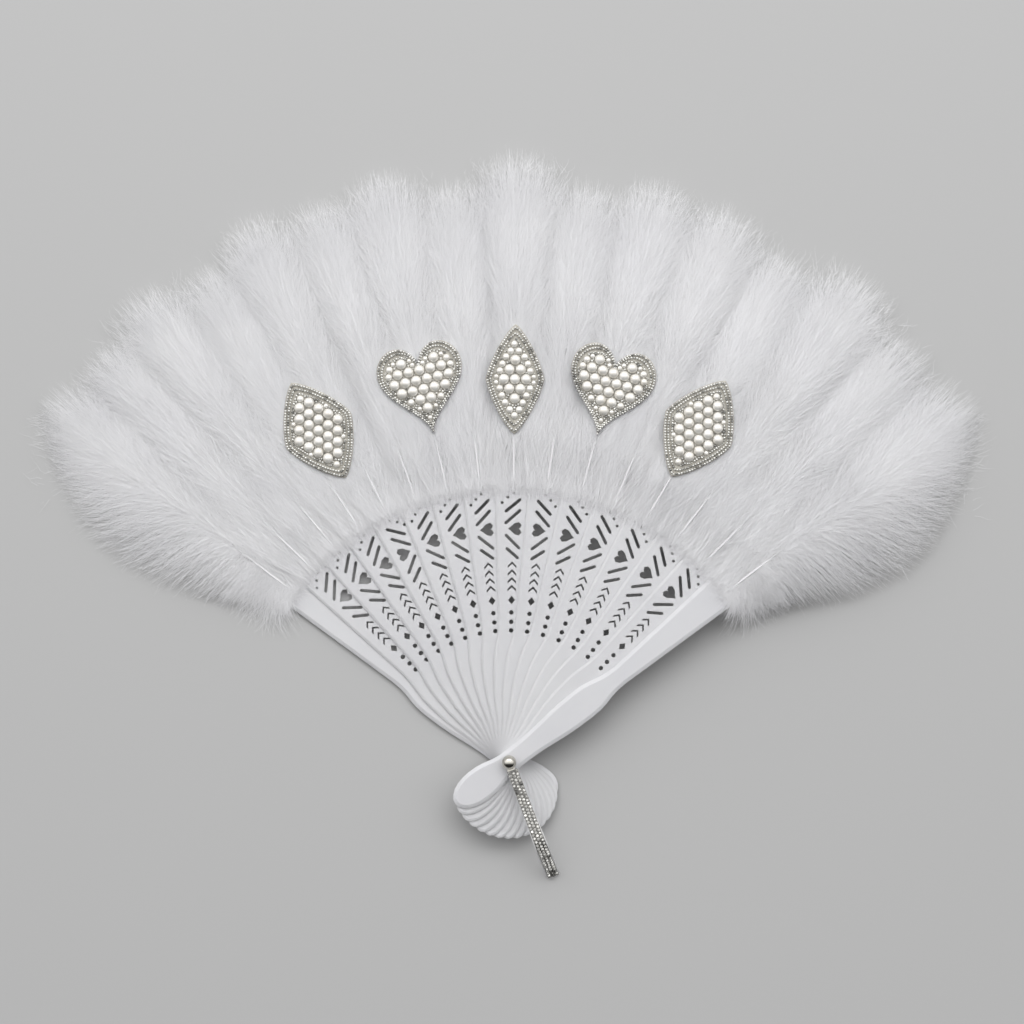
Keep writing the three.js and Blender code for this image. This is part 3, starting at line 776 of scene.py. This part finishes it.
# ornaments: felt, rows of silver beads round the rim, and pearls with smaller ones and beads between them
felt = {
    "thick": 0.6, "points": 96, "chamfer": 0.15, "wall": 0.45, "topInset": 0.2, "topGap": 0.02,
    "deckGap": 0.1,
}
beads = {
    "seed": 7, "radius": 0.7, "rows": (0.75, 2.15), "outline": 240, "height": 1.5, "sides": 8, "steps": 3,
    "sizes": (0.9, 1.05), "rowLift": 0.3, "fillLift": 0.4, "tones": [0.25, 0.6, 0.9, 1.0],
    "toneShares": [0.14, 0.2, 0.33, 0.33],
}
pearls = {
    "border": 3.0, "gap": 0.1, "outline": 120, "rim": 14, "height": 0.95, "overlap": 0.1,
    "pitch": 5.7, "rows": 6, "columns": 5, "gridHalf": (24, 30), "gridSteps": (0.6, 0.6, 0.3, 0.3),
    "radii": (2.75, 1.9, 1.3, 0.7, 0.45),  # those up to a bead's radius become beads
}


# places for pearls in a form: the largest on a lattice, each smaller size where it still fits
def pearlSpots(form):
    room = form(pearls["border"] + pearls["gap"], pearls["outline"])
    rim, pitch = fullTurn(pearls["rim"]), pearls["pitch"]
    rows, columns = np.meshgrid(np.arange(-pearls["rows"], pearls["rows"] + 1),
                                np.arange(-pearls["columns"], pearls["columns"] + 1), indexing="ij")
    layers = [np.stack([(columns + rows % 2 / 2) * pitch, rows * pitch * math.sqrt(3) / 2], 2)]
    for step in pearls["gridSteps"]:
        across, along = (np.arange(-half, half, step) for half in pearls["gridHalf"])
        layers.append(np.stack(np.meshgrid(across, along), 2))
    spots = []
    for radius, layer in zip(pearls["radii"], layers):
        places = layer.reshape(-1, 2)
        x = places[:, :1] + radius * np.cos(rim)
        y = places[:, 1:] + radius * np.sin(rim)
        for px, py in places[insideOutline(room, x, y).all(1)]:
            if all(math.hypot(px - sx, py - sy) > radius + sr - pearls["overlap"] for sx, sy, sr in spots):
                spots.append((px, py, radius))
    return spots


def makeOrnament(number):
    form = ornamentRow["forms"][number]
    name = f"ornament_{number + 1}"
    body = stickName(ornamentRow["carriers"][number])
    turn = -math.radians(stickAngle(ornamentRow["places"][number]))
    rng = np.random.default_rng(beads["seed"] + number)
    seat = floorOf(f"{name}_felt")
    deck = seat + felt["thick"] + felt["deckGap"]

    def addPart(part, points, faces, material, slot, **more):
        placed = turnedAbout(points + np.array([0, ornamentRow["middle"], 0]), 0, 0, turn)
        piece = meshObject(f"{name}_{part}_set", placed, faces, material, **more)
        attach(piece, body)
        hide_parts(f"{name}_{part}")

    count = felt["points"]
    rings = [(felt["chamfer"], seat), (0.0, seat + felt["chamfer"]), (0.0, seat + felt["wall"]),
             (felt["topInset"], deck - felt["topGap"])]
    layers = np.concatenate([np.c_[form(margin, count), np.full(count, z)] for margin, z in rings])
    last = (len(rings) - 1) * count
    feltFaces = ringFaces(len(rings), count) + [list(range(count))[::-1], list(range(last, last + count))]
    addPart("felt", layers, feltFaces, feltAndGapShade, "felt", smooth=False)

    beadShapes, tones, pearlShapes = [], [], []

    def addBead(x, y, size, lift):
        radius = size * rng.uniform(*beads["sizes"])
        bead, beadFaces = halfPearl(radius, radius * beads["height"], beads["sides"], beads["steps"])
        beadShapes.append((bead + np.array([x, y, deck + lift]), beadFaces))
        # each bead takes a random tone; the dark ones are a painted dark reflection among the bright beads
        tones.append(np.full(len(bead), rng.choice(beads["tones"], p=beads["toneShares"])))

    for row, margin in enumerate(beads["rows"]):
        for x, y in alongOutline(form(margin, beads["outline"]), 2 * beads["radius"], 0.5 * row):
            addBead(x, y, beads["radius"], beads["rowLift"] * (1 + rng.random()))
    for x, y, radius in pearlSpots(form):
        if radius > beads["radius"]:
            pearl, pearlFaces = halfPearl(radius, radius * pearls["height"])
            pearlShapes.append((pearl + np.array([x, y, deck]), pearlFaces))
        else:
            addBead(x, y, radius, beads["fillLift"])
    points, faces = joined(beadShapes)
    addPart("border", points, faces, stoneSilver, "rhinestone", tone=np.concatenate(tones))
    points, faces = joined(pearlShapes)
    addPart("pearls", points, faces, pearlCream, "pearl")


for number in range(len(ornamentRow["forms"])):
    makeOrnament(number)
print("ornaments made")


# plain solids get a material and broken edges
def dressNode(nodeName, material, edge, width, segments, **settings):
    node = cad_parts[nodeName]
    node.data.materials.clear()
    node.data.materials.append(material)
    bevel = node.modifiers.new(edge, "BEVEL")
    bevel.width = width * mm
    bevel.segments = segments
    for label, value in settings.items():
        setattr(bevel, label, value)


# rivet: turned ball with a collar, over the washer and the pin
rivet = {
    "ballRadius": 3.7, "footRadius": 2.3, "sides": 48, "steps": 24, "neck": 0.2,
    "collar": [(1.7, 0.0), (2.45, 0.0), (2.6, 0.12), (2.6, 0.42), (2.45, 0.5)],
}
steelEdge = {"width": 0.1, "segments": 2}


def makeBall():
    radius, sides, steps = rivet["ballRadius"], rivet["sides"], rivet["steps"]
    foot = floorOf("rivet_ball")
    middle = math.sqrt(radius ** 2 - rivet["footRadius"] ** 2)
    start = math.atan2(-middle, rivet["footRadius"]) + rivet["neck"]
    profile = list(rivet["collar"])
    for k in range(steps):
        turn = blend(start, math.pi / 2, k / steps)
        profile.append((radius * math.cos(turn), middle + radius * math.sin(turn)))
    points = [[r * math.cos(a), r * math.sin(a), foot + z] for r, z in profile for a in fullTurn(sides)]
    points.append([0, 0, foot + middle + radius])
    ball = meshObject("rivet_ball_turned", np.array(points), domeFaces(len(profile), sides), steelBright)
    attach(ball, "rear_guard")
    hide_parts("rivet_ball")


makeBall()
for nodeName in ("rivet_pin", "rivet_washer", "strap_eyelet"):
    dressNode(nodeName, steelBright, "brokenEdges", **steelEdge)
print("rivet made")


# strap: a pale band with rows of set stones, flat over the heads and drooping to the table
strap = {
    "angle": 21.0, "start": 4.45, "bendStart": 41.5, "bendRadius": 10.0, "droop": 45.0, "floorGap": 0.6,
    "width": 7.2, "topShare": 0.82, "widening": (0.3, 0.75), "backing": 0.5, "chamfer": (0.1, 0.12),
    "stations": 60,
}
setStones = {
    "seed": 3, "bedWidth": 5.6, "bedLow": 0.05, "bedHigh": 0.4, "bedShadeTone": 0.12,
    "columns": (-1.85, 0.0, 1.85), "radius": 0.87, "sizes": (0.95, 1.04), "height": 0.9, "lift": 0.35,
    "tilt": 0.28, "spin": 6, "pitch": 1.8, "stagger": (0.25, 0.75), "firstGap": 0.4, "endGap": 0.5,
    "tones": (0.7, 1.0), "darkReflectionTone": 0.1, "dark": 0.05, "endDark": 0.45, "endRows": 4,
}
strapFloor = topOf("strap_backing") - strap["backing"]


def strapLength():
    turn = math.radians(strap["droop"])
    slope = (strapFloor - strap["floorGap"] - strap["bendRadius"] * (1 - math.cos(turn))) / math.sin(turn)
    return strap["bendStart"] - strap["start"], strap["bendRadius"] * turn, slope


def strapAt(walked, lift):
    flat, arc, _ = strapLength()
    turn = min(max((walked - flat) / strap["bendRadius"], 0), math.radians(strap["droop"]))
    along = strap["start"] + min(walked, flat) + (strap["bendRadius"] + lift) * math.sin(turn)
    up = strapFloor - strap["bendRadius"] + (strap["bendRadius"] + lift) * math.cos(turn)
    rest = max(walked - flat - arc, 0)
    return along + rest * math.cos(turn), up - rest * math.sin(turn), turn


def strapPlace(points):
    turn = math.radians(180 - strap["angle"])
    x, y, z = points.T
    across = x * math.cos(turn) + y * math.sin(turn)
    along = -x * math.sin(turn) + y * math.cos(turn)
    return np.stack([across, along, z], 1)


def addStrapPart(part, points, faces, material, slot, **more):
    piece = meshObject(f"strap_{part}_band", strapPlace(points), faces, material, **more)
    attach(piece, "strap")
    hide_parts(f"strap_{part}")


def makeBacking(total, stations):
    half, thick, (under, over) = strap["width"] / 2, strap["backing"], strap["chamfer"]
    section = [(-half, under), (-half + under, 0.0), (half - under, 0.0), (half, under),
               (half, thick - under), (half - over, thick), (-half + over, thick), (-half, thick - under)]
    points = []
    for walked in stations:
        full = blend(strap["topShare"], 1, ease(*strap["widening"], walked / total))
        points += [[x * full, *strapAt(walked, lift)[:2]] for x, lift in section]
    faces = bandFaces(len(stations), len(section))
    addStrapPart("backing", np.array(points), faces, vinylPale, "backing", smooth=False)


def makeStones(total, stations):
    rng = np.random.default_rng(setStones["seed"])
    # a near-black bed strip under the stones, a painted shade for the gaps between them
    half = setStones["bedWidth"] / 2
    low, high = strap["backing"] + setStones["bedLow"], strap["backing"] + setStones["bedHigh"]
    section = [(-half, low), (half, low), (half, high), (-half, high)]
    bed = np.array([[x, *strapAt(walked, lift)[:2]] for walked in stations for x, lift in section])
    gems, tones = [(bed, bandFaces(len(stations), len(section)))], [np.full(len(bed), setStones["bedShadeTone"])]
    rows = int(total / setStones["pitch"])
    for column, x in enumerate(setStones["columns"]):
        for row in range(rows):
            walked = (row + setStones["stagger"][column % 2]) * setStones["pitch"] + setStones["firstGap"]
            if walked > total - setStones["endGap"]:
                continue
            along, up, turn = strapAt(walked, strap["backing"] + setStones["lift"])
            radius = setStones["radius"] * rng.uniform(*setStones["sizes"])
            gem, gemFaces = cutGem(radius, setStones["height"])
            tiltX, tiltY = rng.normal(0, setStones["tilt"]), rng.normal(0, setStones["tilt"])
            gem = turnedAbout(gem, tiltX, tiltY, rng.uniform(0, setStones["spin"]))
            gem = turnedAbout(gem, -turn, 0, 0)
            gems.append((gem + np.array([x, along, up]), gemFaces))
            # a share of the stones, larger in the last rows, get a near-black tone, a painted dark reflection
            # for their sparkle; the rest take random light tones
            dark = setStones["endDark" if row > rows - setStones["endRows"] else "dark"]
            tone = setStones["darkReflectionTone"] if rng.random() < dark else rng.uniform(*setStones["tones"])
            tones.append(np.full(len(gem), tone))
    points, faces = joined(gems)
    addStrapPart("stones", points, faces, stoneSilver, "rhinestone", smooth=False,
                 tone=np.concatenate(tones))


strapTotal = sum(strapLength())
strapStations = np.linspace(0, strapTotal, strap["stations"])
makeBacking(strapTotal, strapStations)
makeStones(strapTotal, strapStations)
print("strap made")

stickEdge = {"width": 0.38, "segments": 3, "limit_method": "ANGLE", "angle_limit": math.radians(10)}
for index in range(fan["sticks"]):
    dressNode(stickName(index), plasticWhite, "softEdges", **stickEdge)
print("sticks dressed")

# floor, light and camera; the panel's size and places are in metres
studio = {
    "floor": (0.475, 0.475, 0.475, 1), "floorHalf": 4000.0, "floorDrop": 0.2,
    "view": (1.5, 128.0), "frameWidth": 528.0, "height": 2400.0, "sensor": 36, "clipEnd": 20,
    "panel": 5.0, "panelSize": (1.4, 0.5), "panelPlace": (0.0, 0.75, 0.9), "panelAim": (0.0, 0.3, 0.0),
    "falloff": {"Y": (-0.5, 0.15, 0.04, 1.27), "Z": (-0.05, 0.6, 0.345, 1.1)},  # the room's light
}


def makeFloor():
    material = newMaterial("paperFloor", Base_Color=studio["floor"], Roughness=0.9, Specular_IOR_Level=0.1)[0]
    half, drop = studio["floorHalf"], studio["floorDrop"]
    corners = [[-half, -half, -drop], [half, -half, -drop], [half, half, -drop], [-half, half, -drop]]
    floor = meshObject("floor", corners, [[0, 1, 2, 3]], material)


def makeRoom():
    world = bpy.data.worlds.new("softRoom")
    scene.world = world
    world.use_nodes = True
    tree = world.node_tree
    back = tree.nodes["Background"]
    back.inputs["Color"].default_value = (1, 1, 1, 1)
    place = addNode(tree, "ShaderNodeTexCoord")
    split = addNode(tree, "ShaderNodeSeparateXYZ")
    tree.links.new(place.outputs["Generated"], split.inputs["Vector"])
    level = addNode(tree, "ShaderNodeMath", operation="MULTIPLY")
    for slot, (axis, ends) in enumerate(studio["falloff"].items()):
        ramp = addNode(tree, "ShaderNodeMapRange")
        for label, value in zip(("From Min", "From Max", "To Min", "To Max"), ends):
            ramp.inputs[label].default_value = value
        tree.links.new(split.outputs[axis], ramp.inputs["Value"])
        tree.links.new(ramp.outputs["Result"], level.inputs[slot])
    tree.links.new(level.outputs[0], back.inputs["Strength"])


def makePanel():
    lamp = bpy.data.lights.new("softPanel", "AREA")
    lamp.shape = "RECTANGLE"
    lamp.size, lamp.size_y = studio["panelSize"]
    lamp.energy = studio["panel"]
    panel = bpy.data.objects.new("softPanel", lamp)
    panel.location = studio["panelPlace"]
    panel.rotation_euler = (Vector(studio["panelAim"]) - panel.location).to_track_quat("-Z", "Y").to_euler()
    scene.collection.objects.link(panel)


def makeCamera():
    camera = bpy.data.cameras.new("overhead")
    camera.sensor_width = studio["sensor"]
    camera.lens = studio["sensor"] * studio["height"] / studio["frameWidth"]
    camera.clip_end = studio["clipEnd"]
    obj = bpy.data.objects.new("overhead", camera)
    obj.location = (studio["view"][0] * mm, studio["view"][1] * mm, studio["height"] * mm)
    scene.collection.objects.link(obj)
    scene.camera = obj


makeFloor()
makeRoom()
makePanel()
makeCamera()
print("stage set")
